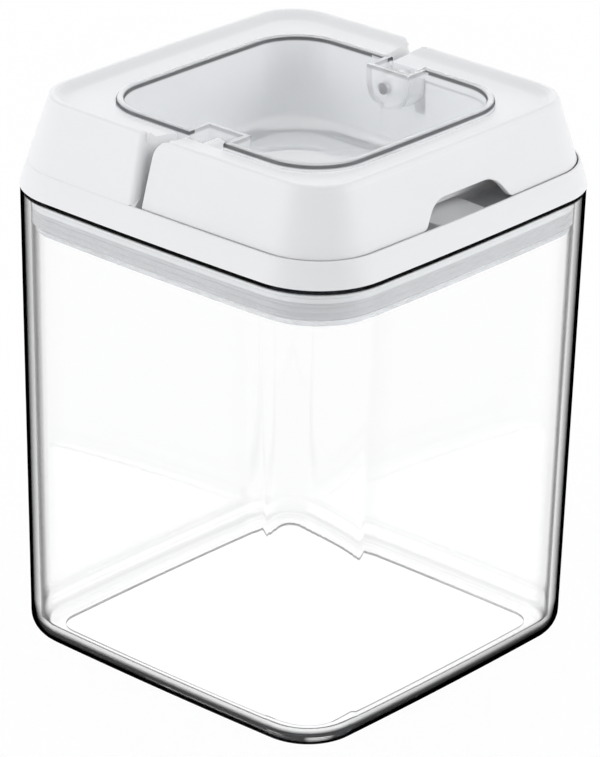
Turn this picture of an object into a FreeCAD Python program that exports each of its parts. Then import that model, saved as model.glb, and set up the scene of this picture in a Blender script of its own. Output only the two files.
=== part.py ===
import FreeCAD, Part
import math
import os
from types import SimpleNamespace

import Sketcher

# Airtight storage container
# A clear square jar, and a lid made of a white frame, a flip lever, a clear tub, a seal and two hinge pins.
# Millimetres. The origin is the middle of the jar's underside, +Z is up and the finger recess faces -Y.

SIZES = (
    ("bow_radius", 1450.0, "radius of the slight outward bow of every side"),
    ("jar_height", 119.4, "height of the jar's rim"),
    ("jar_half", 54.0, "half the jar's width at the rim"),
    ("jar_corner", 19.2, "corner radius of the rim"),
    ("jar_draft", 0.022, "lean of the jar's sides, millimetres per millimetre"),
    ("base_corner", 15.5, "corner radius at the base"),
    ("base_round", 5.9, "rounding of the jar's lower outer edge"),
    ("jar_wall", 2.4, "wall of the jar"),
    ("jar_floor", 3.2, "floor of the jar"),
    ("floor_round", 4.0, "rounding of the jar's inner lower edge"),
    ("foot_width", 3.5, "width of the flat ring that the jar stands on"),
    ("foot_depth", 0.7, "depth of the recess inside the foot ring"),
    ("lid_height", 22.65, "height of the lid above the rim"),
    ("lid_overhang", 0.2, "how far the lid stands out past the jar's rim"),
    ("lid_draft", 0.3122, "lean of the lid's sides, millimetres per millimetre"),
    ("lip_width", 1.8, "flat lip round the lid's top"),
    ("slope_width", 2.9, "width of the hollow slope inside the lip"),
    ("slope_depth", 1.7, "fall of the hollow slope"),
    ("slope_break_width", 1.3, "width of the slope's steeper upper part"),
    ("slope_break_depth", 1.0, "fall of the slope's steeper upper part"),
    ("ledge_fall", 0.65, "fall of the ledge from the slope to the tub"),
    ("skin", 1.8, "wall of the frame and the lever"),
    ("band_height", 6.25, "height of the band under the lever"),
    ("trough_depth", 4.4, "depth of the deck below the band's upper edge"),
    ("deck_thickness", 1.8, "thickness of the deck under the lever"),
    ("rest_half", 8.3, "half width of the finger rest on the deck"),
    ("rest_height", 2.95, "height of the finger rest above the deck"),
    ("rest_gap", 1.3, "gap between the finger rest and the band"),
    ("rest_round", 2.5, "rounding of the finger rest's front corners"),
    ("plug_depth", 4.05, "depth of the frame's skirt below the rim"),
    ("plug_gap", 0.4, "gap between the skirt and the jar's wall"),
    ("lever_inset", 0.9, "how far the lever's outside lies inside the frame's"),
    ("lever_sink", 0.5, "how far the lever's top lies below the frame's lip"),
    ("lever_nest", 0.3, "how far the lever's lower edge reaches into the band"),
    ("lip_gap", 0.3, "gap between the lever and the band"),
    ("tail_reach", 5.0, "reach of the lever's tails behind the hinge"),
    ("tail_round", 4.35, "rounding of the tails' upper corner"),
    ("tail_foot_round", 1.0, "rounding of the tails' lower corner"),
    ("end_gap_low", 1.5, "gap from the tails to the frame's ends at the band"),
    ("end_gap_high", 2.85, "gap from the tails to the frame's ends at the top"),
    ("end_round", 2.0, "rounding of the frame's ends"),
    ("grip_foot_half", 15.2, "half width of the finger recess at the lever's lower edge"),
    ("grip_flare", 4.5, "how far each side of the finger recess leans in towards its top"),
    ("grip_height", 5.45, "height of the finger recess above the band"),
    ("grip_round", 7.5, "rounding of the finger recess's shoulders"),
    ("grip_foot_round", 2.0, "rounding of the finger recess's feet"),
    ("tub_border", 17.67, "width of the lid round the clear tub, measured in from the jar's rim"),
    ("tub_corner", 14.7, "corner radius of the clear tub"),
    ("tub_wall", 2.0, "wall of the clear tub"),
    ("tub_sink", 1.15, "how far the tub's rim lies below the lid's lip"),
    ("tub_depth", 23.6, "inside depth of the clear tub"),
    ("tub_floor", 2.2, "floor of the clear tub"),
    ("tub_floor_round", 4.0, "rounding of the tub's inner lower edge"),
    ("well_gap", 0.3, "gap between the tub and the lid round it"),
    ("flange_thickness", 1.4, "thickness of the tub's flange"),
    ("flange_gap", 1.2, "gap between the flange and the jar's wall"),
    ("seal_height", 4.5, "height of the squeezed seal"),
    ("seal_width", 4.2, "width of the seal"),
    ("seal_gap", 0.35, "gap between the seal's ribs and the jar's wall"),
    ("rib_depth", 0.5, "depth of the grooves between the seal's ribs"),
    ("pivot_depth", 6.45, "depth of the hinge below the lid's lip"),
    ("pin_radius", 1.5, "radius of the hinge pins"),
    ("pin_clearance", 0.05, "running clearance round the hinge pins"),
    ("hub_radius", 2.8, "radius of the lever's hubs"),
    ("hub_end_gap", 0.7, "gap between a hub's end and the pocket's back"),
    ("stroke", 1.5, "fall of the tub when the lever opens"),
    ("cam_land", 0.15, "least height of a cam above its hub"),
    ("cam_width", 4.0, "width of the lever's cams"),
    ("cam_gap", 0.3, "gap between a cam and its pad"),
    ("pad_front", 4.0, "reach of a cam's pad in front of the hinge"),
    ("pad_rear", 1.5, "reach of a cam's pad behind the hinge"),
    ("notch_front", 7.2, "reach of the hinge notch in front of the hinge"),
    ("notch_gap", 0.5, "gap between the open lever's tails and the hinge notch"),
    ("boss_reach", 8.3, "how far a hinge pocket reaches into the tub"),
    ("boss_wall", 1.2, "wall of a hinge pocket"),
    ("boss_front", 8.05, "reach of a hinge pocket in front of the hinge"),
    ("boss_rear", 5.2, "reach of a hinge pocket behind the hinge"),
    ("boss_depth", 10.0, "depth of a hinge pocket below the tub's rim"),
    ("boss_round", 5.5, "rounding of a hinge pocket's lower corners"),
)
RIB_COUNT = 3
OVERCUT = 2.0

doc = FreeCAD.newDocument("storage_container")


class Size:
    """A size in millimetres, as a number and as the sheet formula that gives it."""

    def __init__(self, number, formula):
        self.number = number
        self.formula = formula

    @staticmethod
    def of(value):
        return value if isinstance(value, Size) else Size(float(value), repr(float(value)))

    def joined(self, sign, other, number):
        return Size(number, "(%s %s %s)" % (self.formula, sign, other.formula))

    def __add__(self, other):
        other = Size.of(other)
        return self.joined("+", other, self.number + other.number)

    def __sub__(self, other):
        other = Size.of(other)
        return self.joined("-", other, self.number - other.number)

    def __mul__(self, other):
        other = Size.of(other)
        return self.joined("*", other, self.number * other.number)

    def __truediv__(self, other):
        other = Size.of(other)
        return self.joined("/", other, self.number / other.number)

    def __neg__(self):
        return Size.of(0) - self


def make_sheet():
    sheet = doc.addObject("Spreadsheet::Sheet", "Sizes")
    for row, (alias, value, meaning) in enumerate(SIZES, start=1):
        sheet.set("A%d" % row, alias)
        sheet.set("B%d" % row, repr(value))
        sheet.set("C%d" % row, meaning)
        sheet.setAlias("B%d" % row, alias)
    doc.recompute()
    return SimpleNamespace(
        **{alias: Size(float(sheet.get(alias)), "Sizes." + alias) for alias, _, _ in SIZES}
    )


size = make_sheet()

# Outlines that follow the jar's rim
lid_half = size.jar_half + size.lid_overhang
lid_corner = size.jar_corner + size.lid_overhang
tub_half = size.jar_half - size.tub_border

# Levels, counted up from the surface that the jar stands on
rim_z = size.jar_height
lid_top = rim_z + size.lid_height
band_top = rim_z + size.band_height
deck_top = band_top - size.trough_depth
deck_low = deck_top - size.deck_thickness
plug_low = rim_z - size.plug_depth
seal_low = plug_low - size.seal_height
flange_low = seal_low - size.flange_thickness
lever_top = lid_top - size.lever_sink
lever_low = band_top - size.lever_nest
pivot_z = lid_top - size.pivot_depth
tub_top = lid_top - size.tub_sink
tub_floor_top = tub_top - size.tub_depth
dish_depth = size.slope_depth + size.ledge_fall
cam_throw = size.stroke / 2
cam_radius = size.hub_radius + cam_throw * math.sqrt(2) + size.cam_land
pad_top = pivot_z - cam_radius - cam_throw - size.cam_gap

# A distance that clears the whole part
beyond = size.jar_half * 2


# Outlines, each half a width and a corner radius


def jar_outline(height, inset):
    depth = rim_z - height
    half = size.jar_half - size.jar_draft * depth - inset
    corner = size.jar_corner - (size.jar_corner - size.base_corner) * depth / rim_z - inset
    return half, corner


def lid_outline(height, inset):
    lean = size.lid_draft * (height - rim_z)
    return lid_half - lean - inset, lid_corner - lean - inset


def tub_outline(inset):
    return tub_half - inset, size.tub_corner - inset


def end_y(height):
    """How far behind the hinge the frame's leaning ends lie at a height."""
    lean = (size.end_gap_high - size.end_gap_low) / (lid_top - band_top)
    return size.tail_reach + size.end_gap_low + lean * (height - band_top)


# Sketches


def bind(sketch, name, constraint, formula):
    index = sketch.addConstraint(constraint)
    sketch.renameConstraint(index, name)
    sketch.setExpression("Constraints." + name, formula)


def soft_square(sketch, half, corner):
    """Draws a square with bowed sides and round corners, centred on the sketch's origin."""
    bow = size.bow_radius
    away = bow - half
    reach = math.sqrt(2 * (bow.number - corner.number) ** 2 - away.number**2)
    centre = (reach - away.number) / 2
    swing = math.atan2(centre, centre + away.number)
    up = FreeCAD.Vector(0, 0, 1)
    arcs = []
    for quarter in range(4):
        turn = quarter * math.pi / 2
        spin = FreeCAD.Rotation(up, math.degrees(turn))
        side = Part.Circle(spin.multVec(FreeCAD.Vector(-away.number, 0, 0)), up, bow.number)
        arcs.append(sketch.addGeometry(Part.ArcOfCircle(side, turn - swing, turn + swing)))
        round_end = Part.Circle(spin.multVec(FreeCAD.Vector(centre, centre, 0)), up, corner.number)
        arcs.append(
            sketch.addGeometry(Part.ArcOfCircle(round_end, turn + swing, turn + math.pi / 2 - swing))
        )
    for arc, following in zip(arcs, arcs[1:] + arcs[:1]):
        sketch.addConstraint(Sketcher.Constraint("Tangent", arc, 2, following, 1))
    sides = arcs[0::2]
    corners = arcs[1::2]
    for side, axis in zip(sides, (-1, -2, -1, -2)):
        sketch.addConstraint(Sketcher.Constraint("PointOnObject", side, 3, axis))
    for other_side, other_corner in zip(sides[1:], corners[1:]):
        sketch.addConstraint(Sketcher.Constraint("Equal", sides[0], other_side))
        sketch.addConstraint(Sketcher.Constraint("Equal", corners[0], other_corner))
    bind(sketch, "bow", Sketcher.Constraint("Radius", sides[0], bow.number), bow.formula)
    bind(sketch, "corner", Sketcher.Constraint("Radius", corners[0], corner.number), corner.formula)
    places = (
        ("right", "DistanceX", (sides[0], 3, -1, 1)),
        ("back", "DistanceY", (sides[1], 3, -1, 1)),
        ("left", "DistanceX", (-1, 1, sides[2], 3)),
        ("front", "DistanceY", (-1, 1, sides[3], 3)),
    )
    for name, kind, ends in places:
        bind(sketch, name, Sketcher.Constraint(kind, *ends, away.number), away.formula)


def corner_points(before, here, after, radius):
    """Where a rounded corner leaves its two sides, and the centre of its arc."""
    to_before = (before - here).normalize()
    to_after = (after - here).normalize()
    half_angle = to_before.getAngle(to_after) / 2
    run = radius / math.tan(half_angle)
    middle = (to_before + to_after).normalize()
    return here + to_before * run, here + to_after * run, here + middle * (radius / math.sin(half_angle))


def polygon(sketch, points):
    """Draws a closed outline. Each point is (across, up) or, for a rounded corner, (across, up, radius)."""
    places = [FreeCAD.Vector(p[0].number, p[1].number, 0) for p in points]
    count = len(points)
    starts, ends, centres = [], [], []
    for i, point in enumerate(points):
        if len(point) == 3:
            first, last, centre = corner_points(
                places[i - 1], places[i], places[(i + 1) % count], point[2].number
            )
        else:
            first, last, centre = places[i], places[i], None
        ends.append(first)
        starts.append(last)
        centres.append(centre)
    lines = [
        sketch.addGeometry(Part.LineSegment(starts[i], ends[(i + 1) % count])) for i in range(count)
    ]
    for i, point in enumerate(points):
        arriving, leaving = lines[i - 1], lines[i]
        if centres[i] is None:
            sketch.addConstraint(Sketcher.Constraint("Coincident", arriving, 2, leaving, 1))
            target = (leaving, 1)
        else:
            bend = (ends[i], starts[i], centres[i], places[i])
            target = (round_corner(sketch, i, point[2], arriving, leaving, bend), 1)
        across = Sketcher.Constraint("DistanceX", -1, 1, *target, point[0].number)
        up = Sketcher.Constraint("DistanceY", -1, 1, *target, point[1].number)
        bind(sketch, "across%d" % i, across, point[0].formula)
        bind(sketch, "up%d" % i, up, point[1].formula)


def round_corner(sketch, index, radius, arriving, leaving, bend):
    """Joins two lines with an arc, and returns the point where the lines would have met.

    The bend is where the arc starts and ends, its centre and the corner that it rounds.
    """
    first, last, centre, place = bend
    toward = (place - centre).normalize() * radius.number + centre
    arc = sketch.addGeometry(Part.Arc(first, toward, last))
    made = sketch.Geometry[arc]
    forward = made.StartPoint.distanceToPoint(first) < made.StartPoint.distanceToPoint(last)
    begin, finish = (1, 2) if forward else (2, 1)
    sketch.addConstraint(Sketcher.Constraint("Tangent", arriving, 2, arc, begin))
    sketch.addConstraint(Sketcher.Constraint("Tangent", arc, finish, leaving, 1))
    meeting = sketch.addGeometry(Part.Point(place), True)
    sketch.addConstraint(Sketcher.Constraint("PointOnObject", meeting, 1, arriving))
    sketch.addConstraint(Sketcher.Constraint("PointOnObject", meeting, 1, leaving))
    bind(sketch, "round%d" % index, Sketcher.Constraint("Radius", arc, radius.number), radius.formula)
    return meeting


def free_sketch(name, rotation, axis, level):
    """A sketch on a plane square to an axis, at a level along it."""
    sketch = doc.addObject("Sketcher::SketchObject", name)
    sketch.Placement = FreeCAD.Placement(FreeCAD.Vector(0, 0, 0), rotation)
    sketch.setExpression("Placement.Base." + axis, Size.of(level).formula)
    return sketch


# Solids


def stack(name, sections):
    """A solid through soft squares, each a level with its half width and corner radius."""
    sketches = []
    for number, (level, (half, corner)) in enumerate(sections):
        sketch = free_sketch("%s_level%d" % (name, number), FreeCAD.Rotation(), "z", level)
        soft_square(sketch, half, corner)
        sketches.append(sketch)
    loft = doc.addObject("Part::Loft", name)
    loft.Sections = sketches
    loft.Solid = True
    loft.Ruled = True
    return loft


ALONG_X = FreeCAD.Rotation(FreeCAD.Vector(1, 1, 1), 120)
ALONG_MINUS_Y = FreeCAD.Rotation(FreeCAD.Vector(1, 0, 0), 90)
LAID_ALONG_X = FreeCAD.Rotation(FreeCAD.Vector(0, 1, 0), 90)


def prism(name, rotation, axis, level, length, points):
    """A solid of constant outline, from a level along an axis."""
    sketch = free_sketch(name + "_outline", rotation, axis, level)
    polygon(sketch, [tuple(Size.of(value) for value in point) for point in points])
    body = doc.addObject("Part::Extrusion", name)
    body.Base = sketch
    body.DirMode = "Normal"
    body.Solid = True
    body.setExpression("LengthFwd", Size.of(length).formula)
    return body


def block(name, low, high):
    """A box between two corners."""
    box = doc.addObject("Part::Box", name)
    for axis, side, start, end in zip("xyz", ("Length", "Width", "Height"), low, high):
        start, end = Size.of(start), Size.of(end)
        box.setExpression("Placement.Base." + axis, start.formula)
        box.setExpression(side, (end - start).formula)
    return box


def rod(name, start, length, radius, across=None, up=None):
    """A round bar along +X."""
    bar = doc.addObject("Part::Cylinder", name)
    bar.Placement = FreeCAD.Placement(FreeCAD.Vector(0, 0, 0), LAID_ALONG_X)
    bar.setExpression("Placement.Base.x", start.formula)
    bar.setExpression("Placement.Base.y", Size.of(across or 0).formula)
    bar.setExpression("Placement.Base.z", (up or pivot_z).formula)
    bar.setExpression("Height", length.formula)
    bar.setExpression("Radius", radius.formula)
    return bar


def fuse(name, pieces):
    joined = doc.addObject("Part::MultiFuse", name)
    joined.Shapes = pieces
    joined.Refine = True
    return joined


def common(name, first, second):
    shared = doc.addObject("Part::Common", name)
    shared.Base = first
    shared.Tool = second
    return shared


def cut(name, base, tools):
    left = doc.addObject("Part::Cut", name)
    left.Base = base
    left.Tool = tools[0] if len(tools) == 1 else fuse(name + "_tools", tools)
    left.Refine = True
    return left


def rounded(name, base, groups):
    """Rounds edges. Each group is a radius and a test that picks the edges by their shape."""
    doc.recompute()
    chosen = []
    for radius, picks in groups:
        for number, edge in enumerate(base.Shape.Edges, start=1):
            if picks(edge):
                chosen.append((number, radius.number, radius.number))
    body = doc.addObject("Part::Fillet", name)
    body.Base = base
    body.Edges = chosen
    return body


def level_edge(height):
    """A test for edges that lie flat at a height."""
    def picks(edge):
        box = edge.BoundBox
        return abs(box.ZMin - height.number) < 1e-4 and abs(box.ZMax - height.number) < 1e-4
    return picks


def rising_edge(reach):
    """A test for edges that rise within a reach in front of and behind the hinge."""
    def picks(edge):
        box = edge.BoundBox
        return box.ZLength > box.XLength and max(abs(box.YMin), abs(box.YMax)) < reach.number
    return picks


# The jar


def make_jar():
    ground = Size.of(0)
    outside = stack("jar_outside", [(z, jar_outline(z, ground)) for z in (ground, rim_z)])
    inner_levels = (size.jar_floor, rim_z + OVERCUT)
    hollow = stack("jar_hollow", [(z, jar_outline(z, size.jar_wall)) for z in inner_levels])
    foot_outline = jar_outline(ground, size.base_round + size.foot_width)
    recess = stack("jar_recess", [(z, foot_outline) for z in (ground - OVERCUT, size.foot_depth)])
    outside_rounded = rounded("jar_outside_rounded", outside, [(size.base_round, level_edge(ground))])
    hollow_rounded = rounded("jar_hollow_rounded", hollow, [(size.floor_round, level_edge(size.jar_floor))])
    return cut("jar", outside_rounded, [hollow_rounded, recess])


# The lid's top, shared by the frame and the lever


def dish(name, top, inset):
    """The hollow inside the lip of the lid's top, with the well for the tub below it."""
    lip = inset + size.lip_width
    well = tub_outline(-size.well_gap)
    return stack(
        name,
        [
            (flange_low, well),
            (top - dish_depth, well),
            (top - size.slope_depth, lid_outline(top, lip + size.slope_width)),
            (top - size.slope_break_depth, lid_outline(top, lip + size.slope_break_width)),
            (top, lid_outline(top, lip)),
            (top + OVERCUT, lid_outline(top, lip)),
        ],
    )


# The lid's frame


def make_lid_frame():
    no_inset = Size.of(0)
    band = stack("frame_band", [(z, lid_outline(z, no_inset)) for z in (rim_z, band_top)])
    plug_inset = size.jar_wall + size.plug_gap
    skirt = stack("frame_skirt", [(z, jar_outline(z, plug_inset)) for z in (plug_low, rim_z)])
    underside = jar_outline(plug_low, plug_inset + size.skin)
    lower_hollow = stack("frame_lower_hollow", [(plug_low - OVERCUT, underside), (deck_low, underside)])
    ledge_underside = lid_top - dish_depth - size.skin
    chamber = stack("frame_chamber", [(z, lid_outline(z, size.skin)) for z in (deck_low, ledge_underside)])
    chamber_front = end_y(lid_top) + size.skin
    behind = block("frame_behind_ends", (-beyond, chamber_front, deck_low), (beyond, beyond, lid_top))
    rear_chamber = common("frame_rear_chamber", chamber, behind)
    lever_half, lever_corner = lid_outline(lever_low, size.lever_inset)
    band_inside = (lever_half + size.lip_gap, lever_corner + size.lip_gap)
    trough = stack("frame_trough", [(deck_top, band_inside), (band_top + OVERCUT, band_inside)])
    ahead = block("frame_ahead_of_ends", (-beyond, -beyond, deck_low), (beyond, end_y(band_top), lid_top))
    front_trough = common("frame_front_trough", trough, ahead)
    shell = cut(
        "frame_shell",
        fuse("frame_blank", [make_rear_wall(), band, skirt]),
        [lower_hollow, rear_chamber, front_trough],
    )
    pieces = [shell, make_well_wall(ledge_underside), make_finger_rest(band_inside[0])]
    pieces += [make_cam_pad(side) for side in (-1, 1)]
    return cut("lid_frame", fuse("frame_joined", pieces), [dish("frame_dish", lid_top, no_inset)])


def make_rear_wall():
    """The full-height rear half of the frame, whose two ends lean back and are rounded outside."""
    no_inset = Size.of(0)
    outside = stack("frame_outside", [(z, lid_outline(z, no_inset)) for z in (rim_z, lid_top)])
    low, high = rim_z - OVERCUT, lid_top + OVERCUT
    lever_room = prism(
        "frame_lever_room",
        ALONG_X,
        "x",
        -beyond,
        beyond * 2,
        [(-beyond, low), (end_y(low), low), (end_y(high), high), (-beyond, high)],
    )
    rear = cut("frame_rear_blank", outside, [lever_room])
    end_edges = rising_edge(tub_half - size.tub_corner)
    return rounded("frame_rear_wall", rear, [(size.end_round, end_edges)])


def make_well_wall(ledge_underside):
    """The wall round the tub, lower in front to clear the lever and notched for the lever's hubs."""
    tube_outline = tub_outline(-size.well_gap - size.skin)
    tube = stack("frame_tube", [(deck_low, tube_outline), (ledge_underside, tube_outline)])
    lever_underside = lever_top - dish_depth - size.skin
    front_low = lever_underside - size.lever_sink
    front_top = block("frame_tube_front", (-beyond, -beyond, front_low), (beyond, end_y(lid_top), lid_top))
    notch_low = pivot_z - size.stroke - size.tail_reach - size.notch_gap
    notch = block("frame_notch", (-beyond, -size.notch_front, notch_low), (beyond, end_y(band_top), lid_top))
    return cut("frame_well_wall", tube, [front_top, notch])


def make_finger_rest(band_half):
    """The raised place on the deck behind the finger recess, back to the wall round the tub."""
    front = size.rest_gap - band_half
    rear = -tub_half - size.well_gap - size.skin / 2
    return prism(
        "frame_finger_rest",
        FreeCAD.Rotation(),
        "z",
        deck_low,
        deck_top + size.rest_height - deck_low,
        [
            (-size.rest_half, front, size.rest_round),
            (size.rest_half, front, size.rest_round),
            (size.rest_half, rear),
            (-size.rest_half, rear),
        ],
    )


def make_cam_pad(side):
    """The pillar that a cam presses on, from the deck up."""
    near = tub_half + size.well_gap / 2
    far = near + size.well_gap + size.cam_width
    low, high = (near, far) if side > 0 else (-far, -near)
    return block(
        "frame_pad_%s" % ("right" if side > 0 else "left"),
        (low, -size.pad_front, deck_low),
        (high, size.pad_rear, pad_top),
    )


# The lever


def make_lever():
    inset = size.lever_inset
    outside = stack("lever_outside", [(z, lid_outline(z, inset)) for z in (lever_low, lever_top)])
    underside = lever_top - dish_depth - size.skin
    below = lever_low - OVERCUT
    hollow = stack("lever_hollow", [(z, lid_outline(z, inset + size.skin)) for z in (below, underside)])
    shell = cut("lever_shell", outside, [hollow, dish("lever_dish", lever_top, inset)])
    front_half = prism(
        "lever_front_half",
        ALONG_X,
        "x",
        -beyond,
        beyond * 2,
        [
            (-beyond, lever_low),
            (size.tail_reach, lever_low, size.tail_foot_round),
            (size.tail_reach, lever_top, size.tail_round),
            (-beyond, lever_top),
        ],
    )
    grip_top = band_top + size.grip_height
    grip_beside = size.grip_foot_half + size.grip_foot_round * 2
    grip_top_half = size.grip_foot_half - size.grip_flare
    grip = prism(
        "lever_grip",
        ALONG_MINUS_Y,
        "y",
        -tub_half - size.well_gap - size.skin,
        beyond,
        [
            (-grip_beside, below),
            (grip_beside, below),
            (grip_beside, lever_low),
            (size.grip_foot_half, lever_low, size.grip_foot_round),
            (grip_top_half, grip_top, size.grip_round),
            (-grip_top_half, grip_top, size.grip_round),
            (-size.grip_foot_half, lever_low, size.grip_foot_round),
            (-grip_beside, lever_low),
        ],
    )
    u_shape = cut("lever_u_shape", common("lever_trimmed", shell, front_half), [grip])
    hubs = [piece for side in (-1, 1) for piece in make_hub(side)]
    bores = [make_bore(side) for side in (-1, 1)]
    return cut("lever", fuse("lever_joined", [u_shape] + hubs), bores)


hub_inner = tub_half - size.boss_reach + size.boss_wall + size.hub_end_gap
cam_inner = tub_half + size.well_gap
hub_outer = lid_outline(pivot_z + size.hub_radius, size.lever_inset + size.skin / 2)[0]


def along_side(side, inner, outer):
    """The start of a bar between two distances from the middle, and its length."""
    return (inner if side > 0 else -outer), outer - inner


def make_hub(side):
    """A hub that turns on the pin, with the eccentric cam that lifts the tub."""
    word = "right" if side > 0 else "left"
    start, length = along_side(side, hub_inner, hub_outer)
    hub = rod("lever_hub_" + word, start, length, size.hub_radius)
    start, length = along_side(side, cam_inner + size.well_gap, cam_inner + size.cam_width)
    cam = rod("lever_cam_" + word, start, length, cam_radius, -cam_throw, pivot_z - cam_throw)
    return hub, cam


def make_bore(side):
    word = "right" if side > 0 else "left"
    start, length = along_side(side, hub_inner - OVERCUT, cam_inner + size.cam_width)
    return rod("lever_bore_" + word, start, length, size.pin_radius + size.pin_clearance)


# The clear tub


def make_clear_tub():
    no_inset = Size.of(0)
    wall = stack("tub_wall_outside", [(z, tub_outline(no_inset)) for z in (flange_low, tub_top)])
    flange_outline = jar_outline(seal_low, size.jar_wall + size.flange_gap)
    flange = stack("tub_flange", [(flange_low, flange_outline), (seal_low, flange_outline)])
    inside_outline = tub_outline(size.tub_wall)
    hollow = stack("tub_hollow", [(z, inside_outline) for z in (tub_floor_top, tub_top + OVERCUT)])
    floor_edge = level_edge(tub_floor_top)
    hollow_rounded = rounded("tub_hollow_rounded", hollow, [(size.tub_floor_round, floor_edge)])
    recess_top = tub_floor_top - size.tub_floor
    recess = stack("tub_recess", [(flange_low - OVERCUT, inside_outline), (recess_top, inside_outline)])
    shell = cut("tub_shell", fuse("tub_blank", [wall, flange]), [hollow_rounded, recess])
    bosses = [make_boss(side, "boss", Size.of(0)) for side in (-1, 1)]
    pockets = [make_boss(side, "pocket", size.boss_wall) for side in (-1, 1)]
    holes = [make_pin_bar(side, "tub_pin_hole_") for side in (-1, 1)]
    return cut("clear_tub", fuse("tub_joined", [shell] + bosses), pockets + holes)


def make_boss(side, word, inset):
    """A hinge pocket's outside, or with an inset its inside, which is open at the top and outwards."""
    is_pocket = inset.number > 0
    inner = tub_half - size.boss_reach + inset
    outer = tub_half + size.well_gap / 2 if is_pocket else tub_half - size.tub_wall / 2
    top = tub_top + OVERCUT if is_pocket else tub_top
    low = tub_top - size.boss_depth + inset
    start, length = along_side(side, inner, outer)
    return prism(
        "tub_%s_%s" % (word, "right" if side > 0 else "left"),
        ALONG_X,
        "x",
        start,
        length,
        [
            (-size.boss_front + inset, low, size.boss_round - inset),
            (size.boss_rear - inset, low, size.boss_round - inset),
            (size.boss_rear - inset, top),
            (-size.boss_front + inset, top),
        ],
    )


# The hinge pins


def make_pin_bar(side, name):
    """A bar the size of a hinge pin, from the pocket's back wall into the lever's cam."""
    start, length = along_side(side, tub_half - size.boss_reach, cam_inner + size.cam_width / 2)
    return rod(name + ("right" if side > 0 else "left"), start, length, size.pin_radius)


# The seal


def make_gasket():
    """A ring with ribs round its outside, squeezed between the frame's skirt and the tub's flange."""
    rib_inset = size.jar_wall + size.seal_gap
    sections = []
    for step in range(2 * RIB_COUNT + 1):
        level = seal_low + size.seal_height * (step / (2 * RIB_COUNT))
        inset = rib_inset if step % 2 else rib_inset + size.rib_depth
        sections.append((level, jar_outline(seal_low, inset)))
    outside = stack("gasket_outside", sections)
    hole_outline = jar_outline(seal_low, rib_inset + size.seal_width)
    hole = stack("gasket_hole", [(z, hole_outline) for z in (seal_low - OVERCUT, plug_low + OVERCUT)])
    return cut("gasket", outside, [hole])


def main():
    parts = [make_jar(), make_lid_frame(), make_lever(), make_clear_tub(), make_gasket()]
    parts += [make_pin_bar(side, "hinge_pin_") for side in (-1, 1)]
    doc.recompute()
    for item in doc.Objects:
        if {"Invalid", "Error"} & set(item.State):
            raise RuntimeError("%s failed: %s" % (item.Label, item.State))
    for part in parts:
        if part.Shape.isNull() or not part.Shape.isValid():
            raise RuntimeError("%s has no valid shape" % part.Label)
        if len(part.Shape.Solids) != 1:
            raise RuntimeError("%s has %d solids" % (part.Label, len(part.Shape.Solids)))
    os.makedirs("parts", exist_ok=True)
    for part in parts:
        part.Shape.exportStep("parts/%s.step" % part.Label)
        box = part.Shape.BoundBox
        print("%s volume %.1f mm3, z %.2f to %.2f" % (part.Label, part.Shape.Volume, box.ZMin, box.ZMax))


main()
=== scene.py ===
"""Airtight storage container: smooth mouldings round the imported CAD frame, and the studio round them."""

import logging
import math
from dataclasses import dataclass
from enum import Enum

import bmesh
import bpy
from bmesh.types import BMEdge, BMesh, BMFace, BMVert
from bpy.types import Material, Node, NodeSocket, NodeTree, Object
from mathutils import Matrix, Vector

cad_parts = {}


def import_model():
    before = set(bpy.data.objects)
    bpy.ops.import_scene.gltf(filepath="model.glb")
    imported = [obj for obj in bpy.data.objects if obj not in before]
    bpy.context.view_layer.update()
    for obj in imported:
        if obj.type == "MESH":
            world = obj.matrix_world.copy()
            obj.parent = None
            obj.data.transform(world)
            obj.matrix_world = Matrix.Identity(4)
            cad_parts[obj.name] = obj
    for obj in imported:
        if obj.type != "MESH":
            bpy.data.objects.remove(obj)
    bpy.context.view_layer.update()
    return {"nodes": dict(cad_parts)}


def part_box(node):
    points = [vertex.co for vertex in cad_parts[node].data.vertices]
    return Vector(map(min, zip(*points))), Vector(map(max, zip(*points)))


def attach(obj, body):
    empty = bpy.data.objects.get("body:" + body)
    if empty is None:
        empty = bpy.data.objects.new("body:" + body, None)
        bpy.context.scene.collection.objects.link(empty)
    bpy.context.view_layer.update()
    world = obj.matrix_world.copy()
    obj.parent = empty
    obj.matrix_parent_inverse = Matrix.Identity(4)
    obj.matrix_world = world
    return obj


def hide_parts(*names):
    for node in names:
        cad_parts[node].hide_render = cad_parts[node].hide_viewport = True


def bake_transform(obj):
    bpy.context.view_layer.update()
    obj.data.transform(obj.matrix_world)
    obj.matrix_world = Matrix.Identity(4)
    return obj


LOG = logging.getLogger("container")
MM = 0.001
UP = Vector((0, 0, 1))
# Radius of the slight bow that every side has
BOW = 1450 * MM
# Distance within which two points are one
HAIR = 0.001 * MM
# Distance within which a point counts as lying on a face
TOUCH = 0.01 * MM
# Distance between two rails while they are being joined
STOREY = 5 * MM
# Angle between two faces from which the edge between them stays sharp
SHARP = math.radians(38)
# Steps round a small full circle
CIRCLE_STEPS = 40

Rgba = tuple[float, float, float, float]
Stops = tuple[tuple[float, float], ...]


class Span(Enum):
    """Stretch of the soft square that a rail follows."""

    ROUND = "the whole way round"
    FRONT = "from the left side round the front to the right side"
    REAR = "from the right side round the rear to the left side"


class Side(Enum):
    """Left or right half of the lid, as the sign of X."""

    LEFT = -1
    RIGHT = 1


@dataclass(frozen=True)
class Grain:
    """Steps that a rail is divided into.

    Args:
        side: steps along a full side.
        part: steps along a side that is followed only in part.
        corner: steps round a corner.
    """

    side: int = 24
    part: int = 12
    corner: int = 20


@dataclass(frozen=True)
class Leg:
    """One arc of a rail.

    Args:
        centre: middle of the arc.
        angle: angle that the arc turns through.
        steps: steps that it is divided into.
    """

    centre: Vector
    angle: float
    steps: int


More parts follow.
